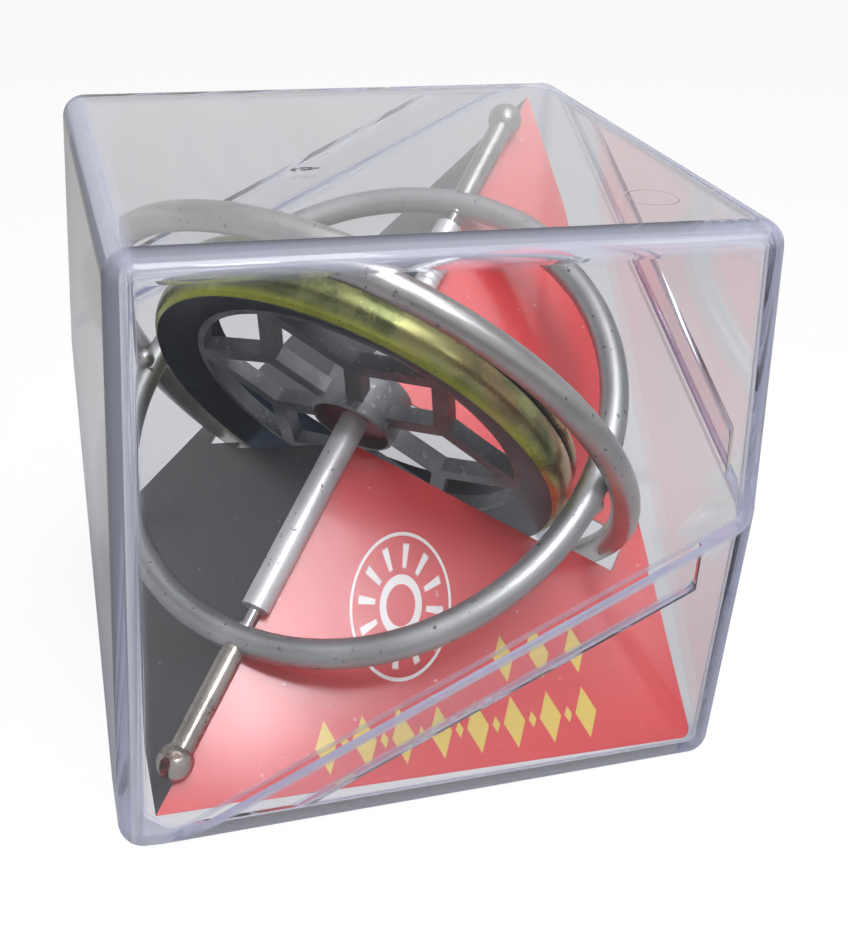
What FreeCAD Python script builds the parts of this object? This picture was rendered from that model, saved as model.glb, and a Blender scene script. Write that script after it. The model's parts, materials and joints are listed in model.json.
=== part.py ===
import FreeCAD, Part
import itertools
import math
import os

# Boxed toy gyroscope: a clear two-part cube case, a folded card and a toy gyroscope on it.
# Millimetres, +Z up, origin at the middle of the case's floor, front of the case towards -Y.

# Clear case: two identical halves that meet on a slanting seam
case_width_share = 1.844   # of the outer ring's outside radius: the rings fill the case
case_rise = 0.1           # how much higher than wide the case is
case_wall = 1.8
case_corner = 2.7
inner_corner = 1.0
seam_bulge = 1.9          # how far the walls lean out from the flat faces to the seam
tongue_reach = 4.4        # how far a tongue stands past the seam, square to it
tongue_thickness = 0.8
tongue_gap = 0.12
tongue_end_gap = 4.4      # from the case's corner to the tongue's end
tongue_floor_gap = 1.0    # from the case's inner floor to the tongue
tongue_round = 1.5

# Folded card: a ridge from the lower front left corner to the upper back right corner
card_thickness = 0.4
card_fold_gap = 1.15      # the fold's low end to the case's walls
card_front_gap = 0.35     # the free ends of its two low edges to the walls beside them
card_side_gap = 0.4       # the free low corners to the walls ahead of them
card_back_gap = 3.35      # its top corner to the walls
card_floor_gap = 0.55
card_back_corner = 7.0    # radius of the black panel's free corner
card_front_corner = 1.2
red_shoulder_share = 0.8  # of its free edge: where the red panel stands out most
red_shoulder = 1.15       # how far it stands out there from a straight edge
black_shoulder_share = 0.67
black_shoulder = 2.4
slot_gap = 0.7            # round the rotor
ring_slot_gap = 0.75      # beside the ring
ring_slot_end = 0.7       # past the ring
ball_seat_gap = 0.1       # round the balls, in their seats cut in the fold

# Gyroscope: its axis lies along the ridge of the card
axis_to_ridge = 1.95
axis_tilt = 0.4           # degrees: the notched end lies a little deeper in its seat
axis_slide = 0.5          # how far it has slid down along the ridge from the middle
ring_wire = 3.2
ring_to_rim = 1.8         # from the rotor's rim to the ring through both pivots
ring_lap = 3.0            # how much larger the ring round the rotor is than the other
ring_fit = 0.03
bead_radius = 1.25
bead_offset = 2.0         # from the crossing, along each ring
pivot_bore = 1.8
pivot_fit = 0.03
cup_length = 1.6
cup_bore_depth = 1.2
spigot_length = 1.3
spigot_overrun = 0.8
lower_stem_diameter = 2.6
upper_stem_diameter = 3.0
stem_saddle = 0.8         # how far the stem's end reaches round the ring's wire
stem_in_ball = 0.9
lower_end_share = 1.279   # ring centre to the notched ball, of the outer ring's outside radius
upper_end_gap = 0.36      # from the upper ball to the case above it
fork_ball_diameter = 3.9
upper_ball_diameter = 4.3
ball_shoulder = 0.45      # width of the flat where the stem enters the ball
notch_width = 1.2
notch_depth = 1.8

# Rotor
axle_diameter = 1.2
axle_fit = 0.05
axle_tip_length = 0.6
axle_end_play = 0.2
sleeve_diameter = 3.3
sleeve_end_gap = 2.0      # from the sleeve's end to the ring's wire
winding_rib_count = 16
winding_rib_pitch = 0.9
winding_rib_depth = 0.16
winding_start = 4.0       # from the rear washer to the first rib
hub_diameter = 10.2
hub_front = 2.2           # hub's front lip, from the ring's plane towards the notched end
hub_back = 3.6
hub_recess_diameter = 9.4
hub_recess_depth = 1.6
hub_edge = 0.2
washer_thickness = 0.5
washer_gap = 0.2
web_front = 0.9
web_back = 1.0
web_ring_width = 0.8
spoke_count = 6
spoke_width = 2.1
strut_width = 1.8
star_node_share = 0.6     # of the rim's bore
star_turn = -13.0         # degrees, from the crossing of the rings to a spoke
rim_outer_radius = 25.3
rim_depth = 4.8
rim_crown = 0.7
rim_front = 2.6
rim_back = 3.9
rim_edge = 0.5
rim_dish = 1.65           # how far the dished front sinks from the front edge to the bore
groove_place = 1.7
groove_width = 0.5
groove_depth = 0.7
flange_crown = 0.25
rim_fit = 0.02

V = FreeCAD.Vector
full_turn = 360.0
far_share = 3
half_turn = 180.0
tiny = 1e-6
nearly_along = 0.7        # cosine that tells an edge along a direction
rim_largest = rim_outer_radius + rim_crown
rim_bore_radius = rim_outer_radius - rim_depth
wire_radius = ring_wire / 2
meridian_radius = rim_largest + ring_to_rim + wire_radius    # centre line of the ring through both pivots
equator_radius = meridian_radius + ring_lap                  # centre line of the ring round the rotor
equator_outer = equator_radius + wire_radius
lower_end_reach = equator_outer * lower_end_share
case_width = equator_outer * case_width_share
case_height = case_width + case_rise
half_width = case_width / 2
centre = V(0, 0, case_height / 2)
half_turn_axis = V(1, -1, 0)
far = case_width * far_share


def convex(planes):
    """Closed solid inside a list of (point, outward normal) planes."""
    corners = {index: [] for index in range(len(planes))}
    for trio in itertools.combinations(range(len(planes)), 3):
        (p, a), (q, b), (r, c) = [planes[index] for index in trio]
        volume = a.dot(b.cross(c))
        if abs(volume) < tiny:
            continue
        point = (b.cross(c) * p.dot(a) + c.cross(a) * q.dot(b) + a.cross(b) * r.dot(c)) * (1 / volume)
        if all((point - place).dot(normal) < tiny for place, normal in planes):
            for index in trio:
                corners[index].append(point)
    faces = []
    for index, (place, normal) in enumerate(planes):
        points = corners[index]
        if len(points) < 3:
            continue
        middle = sum(points, V()) * (1 / len(points))
        first = (points[0] - middle).normalize()
        second = normal.cross(first)
        points.sort(key=lambda point: math.atan2((point - middle).dot(second), (point - middle).dot(first)))
        faces.append(Part.Face(Part.makePolygon(points + [points[0]])))
    return Part.makeSolid(Part.makeShell(faces))


def unit(x, y, z):
    return V(x, y, z).normalize()


def moved(plane, distance):
    """The plane moved inwards, against its outward normal."""
    point, normal = plane
    return point - normal * distance, normal


def flipped(plane):
    point, normal = plane
    return point, normal * -1


def turned(plane):
    """The plane's place on the other half of the case."""
    point, normal = plane
    return V(-point.y, -point.x, case_height - point.z), V(-normal.y, -normal.x, -normal.z)


# Outer planes of the upper half: each wall holds the bulged seam line and leans in above it
lean = seam_bulge / case_height
side_lean = seam_bulge / (2 * case_width)
bulged = half_width + seam_bulge
front_wall = (V(-half_width, -bulged, 0), unit(-side_lean, -1, lean))
left_wall = (V(-bulged, -half_width, 0), unit(-1, -side_lean, lean))
right_wall = (V(bulged, -half_width, case_height / 2), unit(1, -side_lean, lean))
back_wall = (V(-half_width, bulged, case_height / 2), unit(-side_lean, 1, lean))
top_wall = (V(0, 0, case_height), V(0, 0, 1))
base_plane = (V(0, 0, 0), V(0, 0, -1))
seam_slope = case_height / case_width / 2
floor_side = (V(0, 0, case_wall + tongue_floor_gap), V(0, 0, -1))
seam_up = unit(-seam_slope, -seam_slope, 1)
seam = (centre, seam_up)


def rounded(solid, radius):
    return solid.makeFillet(radius, solid.Edges)


def tongue(wall, side, spare):
    """Lip of the upper half in the other half's wall; spare is the room left round it."""
    reach = half_width - tongue_end_gap + spare
    back = case_wall if spare else 0
    return convex([
        moved(wall, case_wall - tongue_thickness - spare), flipped(moved(wall, case_wall + back)),
        flipped(moved(seam, tongue_reach + spare)), moved(seam, -spare), moved(floor_side, -spare),
        (side * reach, side), (side * -reach, side * -1)])


def tongue_with_round(wall, side):
    """The lip with its free upper corner rounded."""
    lip = tongue(wall, side, 0)
    across = [edge for edge in lip.Edges if abs(edge.Curve.Direction.dot(wall[1])) > nearly_along]
    low = [edge for edge in across if (edge.CenterOfMass - centre).dot(seam_up) < -tongue_reach / 2]
    free = max(low, key=lambda edge: edge.CenterOfMass.z)
    return lip.makeFillet(tongue_round, [free])


def upper_case():
    walls = [front_wall, left_wall, right_wall, back_wall, top_wall]
    outer = rounded(convex(walls + [base_plane]), case_corner)
    cavity_base = moved(base_plane, -case_wall)
    cavity = rounded(convex([moved(wall, case_wall) for wall in walls] + [cavity_base]), inner_corner)
    sides = [V(1, 0, 0), V(-1, 0, 0), V(0, 1, 0), V(0, -1, 0), V(0, 0, 1)]
    above = convex([flipped(seam)] + [(centre + side * far, side) for side in sides])
    half = outer.cut(cavity).common(above)
    for wall, side in ((turned(right_wall), V(1, 0, 0)), (turned(back_wall), V(0, 1, 0))):
        rebate = tongue(wall, side, tongue_gap)
        rebate.rotate(centre, half_turn_axis, half_turn)
        half = half.cut(rebate).fuse(tongue_with_round(wall, side))
    return half


def lower_case(upper):
    lower = upper.copy()
    lower.rotate(centre, half_turn_axis, half_turn)
    return lower


# Card: corners on the gyroscope's side of the sheet
inner_reach = half_width + seam_bulge / 2 - case_wall
card_fold = inner_reach - card_fold_gap
card_front = inner_reach - card_front_gap
card_side = inner_reach - card_side_gap
card_back = inner_reach - card_back_gap
card_low = case_wall + card_floor_gap
card_high = case_height - case_wall - card_floor_gap
ridge_low = V(-card_fold, -card_fold, card_low)
ridge_high = V(card_back, card_back, card_high)
ridge_middle = (ridge_low + ridge_high) * (1 / 2)
red_corner = V(card_side, -card_front, card_low)

# Gyroscope's own frame: Z along its axis towards the upper ball, X through the rings' crossings
ridge_way = (ridge_high - ridge_low).normalize()
cross_way = unit(1, -1, 0)
tilt = math.radians(axis_tilt)
axis = ridge_way * math.cos(tilt) - ridge_way.cross(cross_way) * math.sin(tilt)
down_way = axis.cross(cross_way)
gyro_centre = ridge_middle - down_way * axis_to_ridge - axis * axis_slide
upper_ball_top = case_height - case_wall - upper_end_gap - upper_ball_diameter / 2
upper_end_reach = (upper_ball_top - gyro_centre.z) / axis.z
gyro_place = FreeCAD.Matrix(
    cross_way.x, down_way.x, axis.x, gyro_centre.x,
    cross_way.y, down_way.y, axis.y, gyro_centre.y,
    cross_way.z, down_way.z, axis.z, gyro_centre.z,
    0, 0, 0, 1)


def placed(shape):
    """A shape of the gyroscope's own frame, set in the case."""
    copy = shape.copy()
    copy.Placement = FreeCAD.Placement(gyro_place).multiply(copy.Placement)
    return copy


def bar(radius, start, stop):
    return Part.makeCylinder(radius, stop - start, V(0, 0, start))


def turned_profile(points):
    """Solid of revolution about the gyroscope's axis from (radius, height) points."""
    outline = [V(radius, 0, height) for radius, height in points]
    face = Part.Face(Part.makePolygon(outline + [outline[0]]))
    return face.revolve(V(0, 0, 0), V(0, 0, 1), full_turn)


def slot_cutter():
    """What the rotor, the ring round it and the two balls need, with room to spare."""
    rotor_slot = bar(rim_largest + slot_gap, -rim_front - slot_gap, rim_back + slot_gap)
    half_slot = wire_radius + ring_slot_gap
    ring_slot = bar(equator_outer + ring_slot_end, -half_slot, half_slot)
    upper_seat = Part.makeSphere(upper_ball_diameter / 2 + ball_seat_gap, V(0, 0, upper_end_reach))
    lower_seat = Part.makeSphere(fork_ball_diameter / 2 + ball_seat_gap, V(0, 0, -lower_end_reach))
    return placed(rotor_slot.fuse(ring_slot).fuse(upper_seat).fuse(lower_seat))


def red_panel(share, stand_out):
    """The panel on the right of the fold; its free edge stands out a little on the way up."""
    sheet_normal = (red_corner - ridge_low).cross(ridge_high - ridge_low).normalize()
    free_edge = ridge_high - red_corner
    outwards = free_edge.cross(sheet_normal).normalize()
    shoulder = red_corner + free_edge * share + outwards * stand_out
    outline = Part.makePolygon([ridge_low, red_corner, shoulder, ridge_high, ridge_low])
    sheet = Part.Face(outline).extrude(sheet_normal * -card_thickness)
    ridge_side = (V(0, 0, 0), unit(-1, 1, 0))
    red_side = convex([ridge_side] + [(centre + side * far, side) for side in
                                      (V(1, 0, 0), V(0, -1, 0), V(0, 0, 1), V(0, 0, -1))])
    return sheet.common(red_side), sheet_normal


def corner_edge(sheet, corner, along):
    """The short edge through the sheet that starts at a corner."""
    for edge in sheet.Edges:
        near = min((vertex.Point - corner).Length for vertex in edge.Vertexes)
        if near < card_thickness / 2 and abs(edge.Curve.Direction.dot(along)) > nearly_along:
            return edge


def card_panel(black):
    share = black_shoulder_share if black else red_shoulder_share
    sheet, sheet_normal = red_panel(share, black_shoulder if black else red_shoulder)
    radius = card_back_corner if black else card_front_corner
    sheet = sheet.makeFillet(radius, [corner_edge(sheet, red_corner, sheet_normal)])
    if black:
        sheet = sheet.mirror(V(0, 0, 0), cross_way)
    return sheet.cut(slot_cutter())


def meridian_tube(extra=0.0):
    return Part.makeTorus(meridian_radius, wire_radius + extra, V(0, 0, 0), V(0, 1, 0))


def meridian_ring():
    bore = bar(pivot_bore / 2, -meridian_radius - ring_wire, meridian_radius + ring_wire)
    return meridian_tube().cut(bore)


def equatorial_ring():
    return Part.makeTorus(equator_radius, wire_radius).cut(meridian_tube(ring_fit))


def crossing_beads():
    """A small solder bead in one corner of each crossing."""
    beads = []
    for side in (1, -1):
        spot = V(side * meridian_radius, side * bead_offset, -bead_offset)
        bead = Part.makeSphere(bead_radius, spot)
        bead = bead.cut(meridian_tube(ring_fit))
        bead = bead.cut(Part.makeTorus(equator_radius, wire_radius + ring_fit))
        beads.append(bead)
    return Part.makeCompound(beads)


ring_inside = meridian_radius - wire_radius
ring_outside = meridian_radius + wire_radius
spigot_start = ring_outside - spigot_length
axle_end = ring_inside + cup_bore_depth - axle_end_play
sleeve_end = ring_inside - sleeve_end_gap


def stem(diameter, reach):
    """Stem on the upper side: saddle on the ring's wire, spigot in its bore, end in the ball."""
    shank = bar(diameter / 2, ring_outside - stem_saddle, reach - stem_in_ball)
    shank = shank.cut(meridian_tube(ring_fit))
    shank = max(shank.Solids, key=lambda solid: solid.Volume)
    spigot = bar(pivot_bore / 2 - pivot_fit, spigot_start, ring_outside + spigot_overrun)
    return shank.fuse(spigot).removeSplitter()


def ball(diameter, stem_diameter, reach):
    body = Part.makeSphere(diameter / 2, V(0, 0, reach))
    shoulder = reach - diameter / 2 + ball_shoulder
    body = body.cut(bar(diameter, ring_outside, shoulder))
    return body.cut(bar(stem_diameter / 2 + pivot_fit, ring_outside, reach - stem_in_ball + pivot_fit))


def bearing_cup():
    """Cone seat in the bore of the ring, open towards the rotor."""
    body = bar(pivot_bore / 2 - pivot_fit, ring_inside, ring_inside + cup_length)
    seat = axle_diameter / 2 + axle_fit
    mouth = bar(seat, ring_inside, ring_inside + cup_bore_depth - seat)
    cone = Part.makeCone(seat, 0, seat, V(0, 0, ring_inside + cup_bore_depth - seat))
    return body.cut(mouth).cut(cone)


def low_side(shape):
    """A part of the upper end, turned over to the lower end."""
    copy = shape.copy()
    copy.rotate(V(0, 0, 0), V(1, 0, 0), half_turn)
    return copy


def fork_ball():
    body = ball(fork_ball_diameter, lower_stem_diameter, lower_end_reach)
    tip = lower_end_reach + fork_ball_diameter / 2
    notch_floor = tip - notch_depth + notch_width / 2
    notch = Part.makeBox(notch_width, fork_ball_diameter, notch_depth,
                         V(-notch_width / 2, -fork_ball_diameter / 2, notch_floor))
    floor = Part.makeCylinder(notch_width / 2, fork_ball_diameter,
                              V(0, -fork_ball_diameter / 2, notch_floor), V(0, 1, 0))
    return low_side(body.cut(notch).cut(floor))


def axle():
    radius = axle_diameter / 2
    shoulder = axle_end - axle_tip_length
    shaft = bar(radius, -shoulder, shoulder)
    tip = Part.makeCone(radius, radius / 4, axle_tip_length, V(0, 0, shoulder))
    return shaft.fuse(tip).fuse(low_side(tip))


def lower_sleeve():
    start = hub_front - hub_recess_depth + washer_thickness
    tube = bar(sleeve_diameter / 2, start, sleeve_end).cut(bar(axle_diameter / 2 + pivot_fit, start, sleeve_end))
    return low_side(tube)


def upper_sleeve():
    """Sleeve with fine ribs, so that the pull string grips it."""
    start = hub_back - hub_recess_depth + washer_thickness
    radius = sleeve_diameter / 2
    bore = axle_diameter / 2 + pivot_fit
    points = [(bore, start), (radius, start)]
    for rib in range(winding_rib_count):
        low = start + winding_start + rib * winding_rib_pitch
        points.append((radius, low))
        points.append((radius - winding_rib_depth, low + winding_rib_pitch / 3))
        points.append((radius - winding_rib_depth, low + winding_rib_pitch / 2))
        points.append((radius, low + winding_rib_pitch * 5 / 6))
    points += [(radius, sleeve_end), (bore, sleeve_end)]
    return turned_profile(points)


def hub_washer(place):
    radius = hub_recess_diameter / 2 - washer_gap
    bore = axle_diameter / 2 + pivot_fit
    disc = bar(radius, place, place + washer_thickness)
    return disc.cut(bar(bore, place, place + washer_thickness))


def strut(first, second, width):
    """Straight cast bar of the web between two points of the rotor's plane."""
    run = second - first
    length = run.Length
    box = Part.makeBox(length, width, web_front + web_back, V(0, -width / 2, -web_front))
    box.rotate(V(0, 0, 0), V(0, 0, 1), math.degrees(math.atan2(run.y, run.x)))
    box.translate(first)
    return box


def polar(radius, degrees):
    return V(radius * math.cos(math.radians(degrees)), radius * math.sin(math.radians(degrees)), 0)


def rotor_web():
    """Die-cast hub, spokes and six-point zig-zag inside the rim."""
    outside = rim_bore_radius - rim_fit
    inside = outside - web_ring_width
    step = full_turn / spoke_count
    web = bar(outside, -web_front, web_back).cut(bar(inside, -web_front, web_back))
    for index in range(spoke_count):
        angle = star_turn + index * step
        node = polar(star_node_share * rim_bore_radius, angle)
        parts = [strut(polar(hub_diameter / 4, angle), node, spoke_width)]
        parts.append(Part.makeCylinder(spoke_width / 2, web_front + web_back, node - V(0, 0, web_front)))
        for side in (-1, 1):
            rim_point = polar(outside - web_ring_width / 2, angle + side * step / 2)
            parts.append(strut(node, rim_point, strut_width))
        for piece in parts:
            web = web.fuse(piece)
    web = web.common(bar(outside, -web_front, web_back))
    hub_radius = hub_diameter / 2
    hub = turned_profile([
        (0, -hub_front), (hub_radius - hub_edge, -hub_front), (hub_radius, -hub_front + hub_edge),
        (hub_radius, hub_back - hub_edge), (hub_radius - hub_edge, hub_back), (0, hub_back)])
    web = web.fuse(hub)
    recess = hub_recess_diameter / 2
    web = web.cut(bar(recess, -hub_front, -hub_front + hub_recess_depth))
    web = web.cut(bar(recess, hub_back - hub_recess_depth, hub_back))
    bore = axle_diameter / 2 + pivot_fit
    return web.cut(bar(bore, -hub_front, hub_back)).removeSplitter()


def rotor_rim():
    """Heavy rim: dished front, crowned band, groove and narrow flange, turned about the axis."""
    outer = rim_outer_radius
    groove_end = groove_place + groove_width
    middle = (groove_place - rim_front) / 2
    flange_middle = (groove_end + rim_back) / 2
    floor = outer + flange_crown - groove_depth

    def point(radius, height):
        return V(radius, 0, height)

    edges = [
        Part.LineSegment(point(rim_bore_radius, rim_dish - rim_front), point(outer - rim_edge, -rim_front)),
        Part.LineSegment(point(outer - rim_edge, -rim_front), point(outer, -rim_front + rim_edge)),
        Part.Arc(point(outer, -rim_front + rim_edge), point(outer + rim_crown, middle),
                 point(outer + flange_crown, groove_place)),
        Part.LineSegment(point(outer + flange_crown, groove_place), point(floor, groove_place)),
        Part.LineSegment(point(floor, groove_place), point(floor, groove_end)),
        Part.LineSegment(point(floor, groove_end), point(outer, groove_end)),
        Part.Arc(point(outer, groove_end), point(outer + flange_crown, flange_middle),
                 point(outer - rim_edge, rim_back)),
        Part.LineSegment(point(outer - rim_edge, rim_back), point(rim_bore_radius, rim_back)),
        Part.LineSegment(point(rim_bore_radius, rim_back), point(rim_bore_radius, rim_dish - rim_front)),
    ]
    wire = Part.Wire([edge.toShape() for edge in edges])
    return Part.Face(wire).revolve(V(0, 0, 0), V(0, 0, 1), full_turn)


def build():
    upper = upper_case()
    nodes = {
        "case_upper_half": upper,
        "case_lower_half": lower_case(upper),
        "card_red_panel": card_panel(False),
        "card_black_panel": card_panel(True),
    }
    front_washer_place = -hub_front + hub_recess_depth - washer_thickness
    rear_washer_place = hub_back - hub_recess_depth
    gyroscope = {
        "meridian_ring": meridian_ring(),
        "equatorial_ring": equatorial_ring(),
        "crossing_beads": crossing_beads(),
        "upper_stem": stem(upper_stem_diameter, upper_end_reach),
        "upper_ball": ball(upper_ball_diameter, upper_stem_diameter, upper_end_reach),
        "lower_stem": low_side(stem(lower_stem_diameter, lower_end_reach)),
        "fork_ball": fork_ball(),
        "upper_bearing_cup": bearing_cup(),
        "lower_bearing_cup": low_side(bearing_cup()),
        "axle": axle(),
        "lower_sleeve": lower_sleeve(),
        "upper_sleeve": upper_sleeve(),
        "front_hub_washer": hub_washer(front_washer_place),
        "rear_hub_washer": hub_washer(rear_washer_place),
        "rotor_web": rotor_web(),
        "rotor_rim": rotor_rim(),
    }
    for name, shape in gyroscope.items():
        nodes[name] = placed(shape)
    return nodes


os.makedirs("parts", exist_ok=True)
for name, shape in build().items():
    shape.exportStep("parts/" + name + ".step")
    print(name, len(shape.Solids), "solids, closed and valid:", shape.isValid())
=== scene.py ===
import json

import bpy
import numpy as np
from mathutils import Matrix, Vector

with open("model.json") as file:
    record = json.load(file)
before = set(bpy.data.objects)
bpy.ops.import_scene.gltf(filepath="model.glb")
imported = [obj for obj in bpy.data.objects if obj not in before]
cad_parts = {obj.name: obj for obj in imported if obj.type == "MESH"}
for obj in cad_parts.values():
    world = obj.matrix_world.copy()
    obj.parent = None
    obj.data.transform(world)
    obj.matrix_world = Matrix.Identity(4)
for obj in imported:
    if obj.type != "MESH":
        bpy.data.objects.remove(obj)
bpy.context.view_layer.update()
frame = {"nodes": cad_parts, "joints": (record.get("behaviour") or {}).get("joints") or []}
node = frame["nodes"]


# Clear case: two identical halves moulded in clear styrene with a faint violet tint. They meet on
# a slanting seam, where a thin lip of each half reaches into the other. The top carries a round
# gate mark and a small rubbed spot. The thick edges and the seam lines carry painted light: a pale
# violet diffuse stands in for the light seen through the thick plastic.

MM_PER_M = 1000
UP = (0, 0, 1)


class Socket:
    """A shader socket that Python's operators work on: each operation adds its Math node."""

    def __init__(self, tree, link):
        self.tree = tree
        self.link = link

    def math(self, operation, *others):
        made = self.tree.nodes.new("ShaderNodeMath")
        made.operation = operation
        for place, value in enumerate((self,) + others):
            feed(self.tree, made.inputs[place], value)
        return Socket(self.tree, made.outputs[0])

    def __add__(self, other):
        return self.math("ADD", other)

    __radd__ = __add__

    def __mul__(self, other):
        return self.math("MULTIPLY", other)

    __rmul__ = __mul__

    def __sub__(self, other):
        return self.math("SUBTRACT", other)

    def __rsub__(self, other):
        return (self * -1) + other

    def __truediv__(self, other):
        return self.math("DIVIDE", other)

    def __pow__(self, other):
        return self.math("POWER", other)

    def __abs__(self):
        return self.math("ABSOLUTE")

    def step(self, start, stop):
        """0 at start, 1 at stop, eased between and held beyond; start may be the larger."""
        made = self.tree.nodes.new("ShaderNodeMapRange")
        made.interpolation_type = "SMOOTHSTEP"
        feed(self.tree, made.inputs["Value"], self)
        rising = stop > start
        feed(self.tree, made.inputs["From Min"], start if rising else stop)
        feed(self.tree, made.inputs["From Max"], stop if rising else start)
        feed(self.tree, made.inputs["To Min"], 0 if rising else 1)
        feed(self.tree, made.inputs["To Max"], 1 if rising else 0)
        return Socket(self.tree, made.outputs[0])


def feed(tree, target, value):
    """Links a Socket to an input, or sets the input's own value."""
    if isinstance(value, Socket):
        tree.links.new(value.link, target)
    elif target.type == "RGBA":
        target.default_value = tuple(value) + (1,)
    elif target.type == "VECTOR":
        target.default_value = tuple(float(part) for part in value)
    else:
        target.default_value = value


class Nodes:
    """A node tree with one method for every node."""

    def __init__(self, tree):
        self.tree = tree

    def add(self, kind, out=0, inputs=None, **settings):
        made = self.tree.nodes.new(kind)
        for name, value in settings.items():
            setattr(made, name, value)
        for name, value in (inputs or {}).items():
            feed(self.tree, made.inputs[name], value)
        return Socket(self.tree, made.outputs[out])

    def mix(self, factor, first, second):
        """First colour where the factor is 0, second where it is 1."""
        return self.add("ShaderNodeMix", out=2, data_type="RGBA",
                        inputs={0: factor, 6: first, 7: second})


class Finish(Nodes):
    """A material under construction, with distances measured in mm on the piece."""

    def __init__(self, name, **constants):
        self.material = bpy.data.materials.new(name)
        self.material.use_nodes = True
        super().__init__(self.material.node_tree)
        self.shader = self.tree.nodes["Principled BSDF"]
        self.set(**constants)
        self.place = self.add("ShaderNodeTexCoord", out="Object")

    def set(self, **values):
        for name, value in values.items():
            feed(self.tree, self.shader.inputs[name.replace("_", " ")], value)

    def noise(self, scale, detail=2.0, rough=0.5, vector=None):
        """Cloudy noise around 0.5; scale is its lumps to a metre."""
        return self.add("ShaderNodeTexNoise", inputs={
            "Vector": vector or self.place, "Scale": scale,
            "Detail": detail, "Roughness": rough})

    def along(self, way, origin=(0, 0, 0)):
        """Distance in mm from the origin along a direction."""
        run = self.add("ShaderNodeVectorMath", out="Value", operation="DOT_PRODUCT",
                       inputs={0: self.place, 1: way})
        return run * MM_PER_M - MM_PER_M * float(np.dot(way, origin))

    def bump(self, height, strength, distance):
        self.set(Normal=self.add("ShaderNodeBump", inputs={
            "Height": height, "Strength": strength, "Distance": distance}))

    def lets_lamps_through(self, plastic, colour):
        """Lamp light passes straight through the clear plastic, tinted a little by each surface."""
        film = self.add("ShaderNodeBsdfTransparent", inputs={"Color": colour})
        lamp_ray = self.add("ShaderNodeLightPath", out="Is Shadow Ray")
        either = self.add("ShaderNodeMixShader", inputs={
            0: lamp_ray, 1: plastic, 2: film})
        feed(self.tree, self.tree.nodes["Material Output"].inputs["Surface"], either)


def dress(finish, *names):
    """Puts a finish on CAD nodes."""
    for name in names:
        slots = node[name].data.materials
        slots.clear()
        slots.append(finish.material)


def unit(vector):
    return np.asarray(vector) / np.linalg.norm(vector)


def ring_mask(across, up, radius, half_width):
    """1 on a thin ring line of that radius about the point where across and up are 0."""
    off = abs((across ** 2 + up ** 2) ** 0.5 - radius)
    return off.step(half_width * 1.4, half_width * 0.6)


case_width = 62.696          # over the flat faces, mm
case_height = 62.796
seam_bulge = 1.9             # how far the walls lean out to the seam
lip_reach = 4.4              # how far a lip reaches past the seam
wall_reach = case_width / 2
seam_reach = wall_reach + seam_bulge
lean = seam_bulge / case_height
side_lean = seam_bulge / 2 / case_width
upper_walls = {
    "front": ((-wall_reach, -seam_reach, 0), (-side_lean, -1, lean)),
    "left": ((-seam_reach, -wall_reach, 0), (-1, -side_lean, lean)),
    "right": ((seam_reach, -wall_reach, case_height / 2), (1, -side_lean, lean)),
    "back": ((-wall_reach, seam_reach, case_height / 2), (-side_lean, 1, lean)),
    "top": ((0, 0, case_height), (0, 0, 1))}
wall_pairs = (("front", "left"), ("front", "right"), ("back", "left"), ("back", "right"),
              ("top", "front"), ("top", "left"), ("top", "right"), ("top", "back"))
seam_up = unit((-0.50080, -0.50080, 1))
seam_place = (0, 0, case_height / 2 / MM_PER_M)
gate_place = (0.0223, -0.0217, 0.0628)
gate_radius = 2.6
rub_place = (-0.0098, -0.0070, 0.0628)
rub_half_length = 2.6
rub_half_width = 0.9
# Painted light: shares of a pale violet diffuse that stands in for light seen through the thick
# edges and the seam lines.
painted_edge_light_share = 0.52      # share of painted pale violet light on the thick edges
painted_seam_light_share = 0.40


def turned_over(point):
    """A place or direction of the upper half, as it lies on the lower half, before its height."""
    return -point[1], -point[0], -point[2]


def seam_lines(finish, side):
    """1 on the seam's own edge and on the end of the lip, 4.4 mm past it; side tells the half."""
    past = finish.along(seam_up * side, seam_place)
    at_seam = abs(past).step(0.45, 0.20)
    at_lip_end = abs(past + lip_reach).step(0.5, 0.2)
    return at_seam.math("MAXIMUM", at_lip_end)


def near_edges(finish, walls):
    """mm to the nearest edge of the half: the larger of its depths behind the edge's two walls."""
    depth = {}
    for name, (place, way) in walls.items():
        way = unit(way)
        depth[name] = float(np.dot(way, place)) - finish.along(way)
    edges = [depth[first].math("MAXIMUM", depth[second]) for first, second in wall_pairs]
    nearest = edges[0]
    for edge in edges[1:]:
        nearest = nearest.math("MINIMUM", edge)
    return nearest


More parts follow.
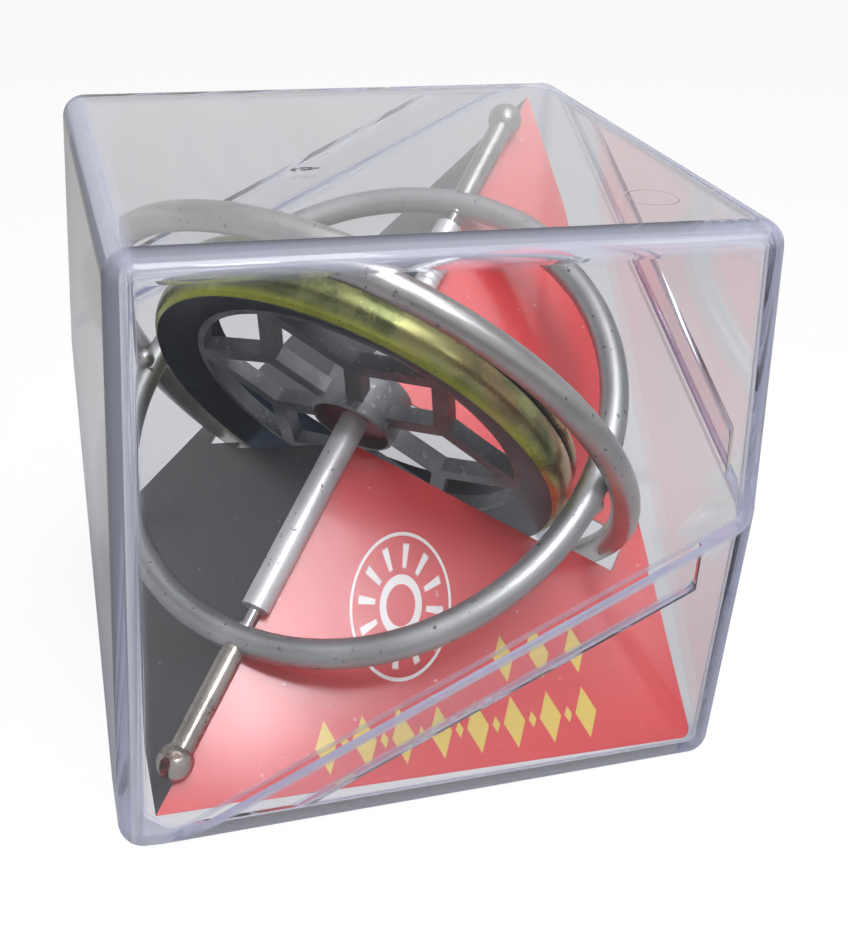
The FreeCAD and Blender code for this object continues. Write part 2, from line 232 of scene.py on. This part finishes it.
def clear_styrene(name, walls, side):
    """Clear plastic whose thick rounded edges and seam lines carry painted pale violet light."""
    clear = Finish(name, Base_Color=(0.97, 0.97, 0.985), IOR=1.5, Transmission_Weight=1.0)
    on_top = clear.along(UP).step(case_height - 0.3, case_height - 0.1)
    gate_x = clear.along((1, 0, 0), gate_place)
    gate_y = clear.along((0, 1, 0), gate_place)
    gate_ring = ring_mask(gate_x, gate_y, gate_radius, 0.10) * on_top
    rub_x = clear.along((1, 0.25, 0), rub_place)
    rub_y = clear.along((-0.25, 1, 0), rub_place)
    rub_spot = ((rub_x / rub_half_length) ** 2 + (rub_y / rub_half_width) ** 2).step(1.1, 0.3)
    rubbed = (clear.noise(1500, 3.0) * rub_spot).step(0.42, 0.52) * on_top
    haze = clear.noise(60, 3.0, 0.6).step(0.45, 0.8)
    clear.set(Roughness=rubbed * 0.5 + haze * 0.02)
    clear.bump(gate_ring + rubbed * 0.6, 0.5, 0.0001)
    # Painted light: a pale violet diffuse over the thick edges and the seam lines stands in for
    # light seen through the thick plastic.
    painted_edge_light = near_edges(clear, walls).step(3.4, 0.9) * painted_edge_light_share
    painted_edge_light = painted_edge_light.math("MAXIMUM", seam_lines(clear, side) * painted_seam_light_share)
    painted_edge_glow = clear.add("ShaderNodeBsdfDiffuse", inputs={"Color": (0.54, 0.56, 0.69)})
    plastic = clear.add("ShaderNodeMixShader", inputs={
        0: painted_edge_light, 1: Socket(clear.tree, clear.shader.outputs[0]), 2: painted_edge_glow})
    clear.lets_lamps_through(plastic, (0.96, 0.96, 0.97))
    tint = clear.add("ShaderNodeVolumeAbsorption", inputs={
        "Color": (0.50, 0.54, 0.86), "Density": 14.0})
    feed(clear.tree, clear.tree.nodes["Material Output"].inputs["Volume"], tint)
    return clear


lower_walls = {}
for name, (place, way) in upper_walls.items():
    x, y, z = turned_over(place)
    lower_walls[name] = ((x, y, z + case_height), turned_over(way))
dress(clear_styrene("clear_styrene_upper", upper_walls, 1), "case_upper_half")
dress(clear_styrene("clear_styrene_lower", lower_walls, -1), "case_lower_half")


# Folded card: one sheet of stiff white board, printed red on one side of the fold and black on
# the other, varnished on the face, cut with a slot for the rotor. Its cut edges show white. The
# red panel carries rows of gold lozenges and a white rosette.

fold_foot = np.array([-0.029348, -0.029348, 0.00235])
red_foot = np.array([0.030098, -0.030148, 0.00235])
fold_head = np.array([0.027148, 0.027148, 0.060446])
board_thickness = 0.4
ink_depth = 0.06             # print shows to this depth below the face, mm
white_board = (0.72, 0.71, 0.69)


def board_edges(finish, facing, printed):
    """The printed colour on the face, bare board on the cut edges, near-black on the reverse."""
    depth = 0 - finish.along(facing, fold_foot)
    faced = finish.mix(depth.step(ink_depth, 2 * ink_depth), printed, white_board)
    reverse = depth.step(board_thickness - 0.08, board_thickness - 0.02)
    return finish.mix(reverse, faced, (0.030, 0.029, 0.032))


red_facing = unit(np.cross(red_foot - fold_foot, fold_head - fold_foot))
foot_way = unit(red_foot - fold_foot)
rise_way = np.cross(red_facing, foot_way)
red = Finish("red_print", Coat_Weight=0.6, Coat_Roughness=0.14)
run = red.along(foot_way, fold_foot)
rise = red.along(rise_way, fold_foot)
ink_cloud = red.noise(90, 3.0)
red_ink = red.mix(ink_cloud, (0.54, 0.008, 0.012), (0.66, 0.016, 0.020))


lozenge_pitch = 4.2
rows_end = 49.8


def lozenges(across, up, first, last, foot, height, half_width):
    """A row of slim lozenges: |across| / half width + |up| / half height below 1 in each pitch."""
    cell = (across - first).math("MODULO", lozenge_pitch) - lozenge_pitch / 2
    half_height = height / 2
    body = (abs(cell) / half_width + abs(up - (foot + half_height)) / half_height).step(1.03, 0.97)
    return body * across.step(first - 0.02, first) * across.step(last, last - 0.02)


tall_row = lozenges(run, rise, 16.2, rows_end, foot=1.5, height=5.6, half_width=1.25)
short_row = lozenges(run + lozenge_pitch / 2, rise, 20.4, rows_end,
                     foot=3.4, height=1.8, half_width=0.45)
upper_row = lozenges(run, rise, 37.2, rows_end, foot=8.6, height=5.2, half_width=1.15)
gold_ink = (tall_row + short_row + upper_row).math("MINIMUM", 1)


def slanted(across, up, centre, angle):
    """Coordinates about a centre, turned by an angle in degrees."""
    turn = np.radians(angle)
    cosine, sine = float(np.cos(turn)), float(np.sin(turn))
    x, y = across - centre[0], up - centre[1]
    return x * cosine + y * sine, y * cosine - x * sine


rosette_half_width = 5.6
rosette_half_height = 8.2
ray_count = 12
rosette_x, rosette_y = slanted(run, rise, (28.6, 18.4), -14)
rosette_x = rosette_x / rosette_half_width
rosette_y = rosette_y / rosette_half_height
rosette_out = (rosette_x ** 2 + rosette_y ** 2) ** 0.5
ray_gap = rosette_y.math("ARCTAN2", rosette_x).math("PINGPONG", float(np.pi) / ray_count)
rays = ray_gap.step(0.085, 0.060) * rosette_out.step(0.50, 0.54) * rosette_out.step(0.88, 0.84)
inner_line = abs(rosette_out - 0.36).step(0.075, 0.060)
outer_line = abs(rosette_out - 1).step(0.030, 0.020)
white_ink = (rays + inner_line + outer_line).math("MINIMUM", 1)

red_face = red.mix(gold_ink, red_ink, (0.66, 0.47, 0.055))
red_face = red.mix(white_ink, red_face, (0.80, 0.76, 0.74))
dust = red.noise(900, 2.0).step(0.72, 0.78)
red_face = red.mix(dust * 0.5, red_face, (0.75, 0.55, 0.55))
red.set(Base_Color=board_edges(red, red_facing, red_face),
        Roughness=red.noise(500, 3.0) * 0.12 + 0.30)
red.bump(red.noise(2600, 2.0), 0.03, 0.00004)
dress(red, "card_red_panel")

black_facing = red_facing[[1, 0, 2]]
black = Finish("black_print", Coat_Weight=0.2, Coat_Roughness=0.28)
scratch_place = black.add("ShaderNodeMapping", inputs={
    "Vector": black.place, "Rotation": (0.5, 0.3, 0.9), "Scale": (1.0, 7.0, 1.0)})
scratches = black.noise(260, 4.0, 0.6, scratch_place).step(0.66, 0.74)
specks = black.noise(1100, 1.0).step(0.76, 0.80)
black_cloud = black.mix(black.noise(120, 3.0), (0.036, 0.034, 0.038), (0.052, 0.050, 0.055))
worn_spots = (scratches * 0.35 + specks * 0.6).math("MINIMUM", 1)
black_face = black.mix(worn_spots, black_cloud, (0.30, 0.30, 0.31))
black.set(Base_Color=board_edges(black, black_facing, black_face),
          Roughness=black.noise(500, 3.0) * 0.12 + 0.36)
black.bump(black.noise(2600, 2.0), 0.03, 0.00004)
dress(black, "card_black_panel")


# Rings: two hoops bent from zinc plated wire, the one round the rotor a little larger and
# brighter than the one through the pivots, soldered together with a small bead at each crossing.

spin = next(joint for joint in frame["joints"] if joint["name"] == "rotor_spin")
spin_centre = np.array(spin["pos_m"])
spin_axis = unit(spin["axis"])
cross_way = unit((1, -1, 0))
down_way = np.cross(spin_axis, cross_way)


def plated(name, pale, dark, roughness, pit_share, metallic=1.0):
    """Dull plated metal: cloudy grey, small pits and fine wear."""
    finish = Finish(name, Metallic=metallic)
    cloud = finish.noise(110, 4.0, 0.6)
    pits = finish.noise(1300, 2.0).step(0.70 - pit_share, 0.76 - pit_share)
    plate = finish.mix(cloud.step(0.3, 0.7), dark, pale)
    finish.set(Base_Color=finish.mix(pits, plate, tuple(part * 0.45 for part in dark)))
    finish.set(Roughness=cloud * 0.16 + pits * 0.2 + (roughness - 0.08))
    finish.bump(finish.noise(700, 3.0) - pits * 0.8, 0.16, 0.00006)
    return finish


dull_zinc = plated("dull_zinc", (0.51, 0.52, 0.52), (0.39, 0.40, 0.40), 0.44, 0.03)
dress(dull_zinc, "meridian_ring")
bright_zinc = plated("bright_zinc", (0.56, 0.55, 0.54), (0.42, 0.41, 0.40), 0.38, 0.02)
dress(bright_zinc, "equatorial_ring", "crossing_beads")


# Stems: short turned rods outside the pivots, nickel plated and worn, one ending in a plain ball
# and one in a ball with a notch that rides on a string. Brown specks show where the plate is gone.

def worn_nickel(name, pale, dark, roughness, speck_from):
    """Nickel plate with brown specks along it."""
    finish = Finish(name, Metallic=1.0)
    cloud = finish.noise(150, 4.0, 0.65).step(0.3, 0.7)
    specks = finish.noise(520, 3.0, 0.6).step(speck_from, speck_from + 0.07)
    worn = finish.mix(cloud, dark, pale)
    finish.set(Base_Color=finish.mix(specks * 0.8, worn, (0.16, 0.10, 0.06)))
    finish.set(Roughness=cloud * 0.10 + specks * 0.3 + (roughness - 0.05))
    finish.bump(finish.noise(800, 2.0) - specks, 0.14, 0.00005)
    return finish


stem_nickel = worn_nickel("worn_nickel", (0.50, 0.47, 0.43), (0.36, 0.32, 0.28), 0.28, 0.60)
dress(stem_nickel, "lower_stem", "fork_ball")
ball_nickel = worn_nickel("bright_nickel", (0.42, 0.41, 0.40), (0.32, 0.31, 0.30), 0.30, 0.70)
dress(ball_nickel, "upper_stem", "upper_ball")


# Axle and bearing cups: a ground steel pin with fine ends, turning in two hardened cups that sit
# in the ring under the stems.

ground_steel = plated("ground_steel", (0.66, 0.66, 0.67), (0.52, 0.52, 0.53), 0.18, -0.04)
dress(ground_steel, "axle", "lower_bearing_cup", "upper_bearing_cup")


# Sleeves: cast zinc tubes pressed on the axle, speckled with fine pits. The upper one has ribs
# that the pull string grips.

speckled_zinc = plated("speckled_zinc", (0.80, 0.80, 0.80), (0.60, 0.60, 0.60), 0.42, 0.03, 0.65)
dress(speckled_zinc, "lower_sleeve", "upper_sleeve")


# Rotor web and hub: one die casting with six spokes and a zig-zag of struts, grey and matt, with
# fine pale pits. Past the hub its spokes and struts are darkened as painted shade. The hub's turned
# recess and the thin washers in it carry a painted dark red reflection of the red card, darkened as
# painted shade.

hub_front = -2.2             # hub's front lip, mm along the axle from the ring's plane
hub_radius = 5.1
hub_recess_radius = 4.7
cast_zinc = Finish("cast_zinc", Metallic=0.45)
cast_cloud = cast_zinc.noise(160, 4.0, 0.6)
cast_grain = cast_zinc.noise(900, 3.0)
web_height = cast_zinc.along(spin_axis, spin_centre)
web_across = cast_zinc.along(cross_way, spin_centre)
web_down = cast_zinc.along(down_way, spin_centre)
web_radius = (web_across ** 2 + web_down ** 2) ** 0.5
# Painted reflection: the hub's recess takes a dark red reflection of the red card, darkened as
# painted shade.
recess_painted_reflection = web_radius.step(hub_recess_radius + 0.05, hub_recess_radius - 0.05)
recess_painted_reflection = recess_painted_reflection * web_height.step(hub_front + 0.1, hub_front + 0.2)
recess_painted_reflection = recess_painted_reflection * web_height.step(0.5, 0.3)
grey_casting = cast_zinc.mix(cast_cloud.step(0.3, 0.7), (0.10, 0.105, 0.115), (0.24, 0.245, 0.25))
cast_pits = cast_zinc.noise(1500, 2.0).step(0.62, 0.70)
grey_casting = cast_zinc.mix(cast_pits * 0.6, grey_casting, (0.42, 0.42, 0.42))
# Painted shade: the spokes and struts past the hub are darkened.
painted_shade_past_hub = web_radius.step(hub_radius + 0.3, hub_radius + 1.5)
grey_casting = cast_zinc.mix(painted_shade_past_hub * 0.45, grey_casting, (0.045, 0.050, 0.060))
cast_zinc.set(Base_Color=cast_zinc.mix(recess_painted_reflection, grey_casting, (0.13, 0.025, 0.042)),
              Roughness=cast_grain * 0.2 + 0.34)
cast_zinc.bump(cast_grain, 0.4, 0.00014)
dress(cast_zinc, "rotor_web")

# Painted reflection: the washers take the same dark red reflection of the red card, darkened as
# painted shade.
washer_painted_reflection = Finish("washer_painted_reflection", Metallic=0.7)
turned_cloud = washer_painted_reflection.noise(300, 3.0)
painted_red_reflection = washer_painted_reflection.mix(turned_cloud, (0.13, 0.008, 0.022), (0.22, 0.018, 0.042))
washer_painted_reflection.set(Base_Color=painted_red_reflection, Roughness=turned_cloud * 0.15 + 0.32)
dress(washer_painted_reflection, "front_hub_washer", "rear_hub_washer")


# Rotor rim: a heavy turned steel ring with an olive chromate plate that runs from yellow green
# at its front edge to dark olive, with a narrow groove near the back, darkened as painted shade.
# Its front face has taken a dark navy bloom. On the side towards the red card the plate carries a
# painted warm reflection of the card.

rim_front = -2.6             # front edge of the rim, mm along the axle
rim_band_radius = 25.3       # edges of its crowned band
rim_bore = 20.5
rim_dish = 1.65
flat_radius = rim_band_radius - 0.5
rim = Finish("olive_chromate", Metallic=0.9)
rim_height = rim.along(spin_axis, spin_centre)
rim_across = rim.along(cross_way, spin_centre)
rim_down = rim.along(down_way, spin_centre)
rim_radius = (rim_across ** 2 + rim_down ** 2) ** 0.5
mottle = rim.noise(170, 5.0, 0.62)
fine_mottle = rim.noise(620, 3.0, 0.6)
olive = rim.mix(mottle.step(0.36, 0.64), (0.130, 0.150, 0.062), (0.330, 0.350, 0.140))
olive = rim.mix(fine_mottle.step(0.60, 0.74) * 0.6, olive, (0.50, 0.48, 0.20))
front_glow = rim_height.step(rim_front + 1.3, rim_front + 0.3) * 0.75
olive = rim.mix(front_glow, olive, (0.38, 0.40, 0.035))
# Painted reflection: a warm orange of the red card on the side of the rim towards it.
side_painted_card_reflection = rim_across.step(9, 21) * rim.noise(120, 2.0).step(0.40, 0.60) * 0.65
olive = rim.mix(side_painted_card_reflection, olive, (0.50, 0.29, 0.15))
# Painted shade: the narrow groove near the back is darkened.
groove_painted_shade = rim_radius.step(rim_band_radius + 0.45, rim_band_radius + 0.05)
groove_painted_shade = groove_painted_shade * rim_height.step(0.6, 1.0) * rim_height.step(2.8, 2.4)
olive = rim.mix(groove_painted_shade * 0.85, olive, (0.035, 0.035, 0.020))
bloom = rim.mix(rim_across.step(-8, 16), (0.013, 0.028, 0.056), (0.065, 0.060, 0.072))
bloom = rim.mix(mottle.step(0.45, 0.75) * 0.6, bloom, (0.060, 0.085, 0.125))
dish_floor = rim_front + (flat_radius - rim_radius) * (rim_dish / (flat_radius - rim_bore))
on_dish = (rim_height - dish_floor).step(0.35, 0.15)
on_dish = on_dish * rim_radius.step(flat_radius + 0.15, flat_radius)
bore_side = rim_radius.step(rim_bore + 0.3, rim_bore + 0.1)
dark_side = on_dish.math("MAXIMUM", bore_side)
rim.set(Base_Color=rim.mix(dark_side, olive, bloom),
        Roughness=mottle * 0.22 + 0.16 + dark_side * 0.12)
rim.bump(mottle + fine_mottle * 0.4, 0.22, 0.00016)
dress(rim, "rotor_rim")


# Room: a white sweep under a soft even sky, with one soft box overhead and one in front of it.
# The lens sees the sweep white and plastic shows it pale grey; metal sees a painted reflection of
# it, grey behind the part and darkening to near black towards the camera.

scene = bpy.context.scene
scene.cycles.max_bounces = 24
scene.cycles.transmission_bounces = 24
scene.cycles.transparent_max_bounces = 24
scene.cycles.glossy_bounces = 8
scene.cycles.diffuse_bounces = 4
world = bpy.data.worlds.new("soft_room")
scene.world = world
world.use_nodes = True
sky = Nodes(world.node_tree)
sky_way = sky.add("ShaderNodeTexCoord", out="Generated")
height = sky.add("ShaderNodeSeparateXYZ", out="Z", inputs={0: sky_way})
camera_ray = sky.add("ShaderNodeLightPath", out="Is Camera Ray")
clear_ray = sky.add("ShaderNodeLightPath", out="Is Transmission Ray")
gloss_ray = sky.add("ShaderNodeLightPath", out="Is Glossy Ray")
room_light = 0.50 - height.step(0.10, 0.55) * 0.10 + height.step(0.6, 0.95) * 0.22
backdrop = clear_ray.math("MAXIMUM", gloss_ray) * height.step(0.45, 0.15)
room_light = room_light + backdrop * 0.30
strength = room_light + camera_ray * (1 - room_light)
background = sky.tree.nodes["Background"]
feed(sky.tree, background.inputs["Color"], (1, 1, 1))
feed(sky.tree, background.inputs["Strength"], strength)

floor_reach = 3.0
floor_mesh = bpy.data.meshes.new("floor")
floor_corners = [(-floor_reach, -floor_reach, 0), (floor_reach, -floor_reach, 0),
                 (floor_reach, floor_reach, 0), (-floor_reach, floor_reach, 0)]
floor_mesh.from_pydata(floor_corners, [], [(0, 1, 2, 3)])
floor = bpy.data.objects.new("floor", floor_mesh)
scene.collection.objects.link(floor)
sheet = Finish("floor_sheet", Roughness=0.9, Emission_Color=(1, 1, 1))
lens_ray = sheet.add("ShaderNodeLightPath", out="Is Camera Ray")
mirror_ray = sheet.add("ShaderNodeLightPath", out="Is Glossy Ray")
plastic_ray = sheet.add("ShaderNodeLightPath", out="Is Transmission Ray")
behind = sheet.along((0, 1, 0))
# Painted reflection: metal sees the sheet mid grey behind the part and nearly black towards the
# camera, as dark surroundings.
painted_dark_reflection = sheet.mix(behind.step(-55, -130), (0.34, 0.34, 0.34), (0.09, 0.09, 0.09))
painted_dark_reflection = sheet.mix(behind.step(-20, 40), painted_dark_reflection, (0.54, 0.54, 0.54))
sheet_or_painted_reflection = sheet.mix(mirror_ray, (0.60, 0.60, 0.60), painted_dark_reflection)
sheet.set(Base_Color=sheet.mix(lens_ray, sheet_or_painted_reflection, (0.15, 0.15, 0.15)),
          Emission_Strength=lens_ray * 0.86 + plastic_ray * 0.24, Specular_IOR_Level=0.0)
floor_mesh.materials.append(sheet.material)


def soft_box(name, place, target, width, power):
    """A square soft box aimed at a point of the part."""
    lamp = bpy.data.lights.new(name, "AREA")
    lamp.size = width
    lamp.energy = power
    stand = bpy.data.objects.new(name, lamp)
    stand.location = place
    stand.rotation_euler = (Vector(target) - Vector(place)).to_track_quat("-Z", "Y").to_euler()
    scene.collection.objects.link(stand)


soft_box("overhead_box", (0.09, -0.09, 0.44), (0, 0, 0.03), 0.22, 0.53)
soft_box("front_box", (0.014, -0.24, 0.363), (-0.015, -0.02, 0.01), 0.12, 0.50)
soft_box("glare_lamp", (0.0225, -0.289, 0.330), (-0.022, -0.024, 0.007), 0.030, 0.10)
soft_box("side_lamp", (0.183, -0.229, 0.310), (0.026, -0.013, 0.012), 0.07, 0.07)

camera_place = np.array([-35.879, -137.447, 99.469]) / MM_PER_M
camera_right = np.array([0.963201, -0.266248, 0.036822])
camera_down = np.array([-0.077324, -0.405689, -0.910735])
camera_ahead = np.array([0.257419, 0.874373, -0.411347])
camera_data = bpy.data.cameras.new("camera")
camera_data.lens = 51.6264
camera_data.shift_x = 0.01509
camera_data.shift_y = -0.09052
camera = bpy.data.objects.new("camera", camera_data)
camera_grid = np.eye(4)
camera_grid[:3, 0] = camera_right
camera_grid[:3, 1] = -camera_down
camera_grid[:3, 2] = -camera_ahead
camera_grid[:3, 3] = camera_place
camera.matrix_world = Matrix(camera_grid.tolist())
scene.collection.objects.link(camera)
scene.camera = camera
scene.view_settings.view_transform = "Standard"
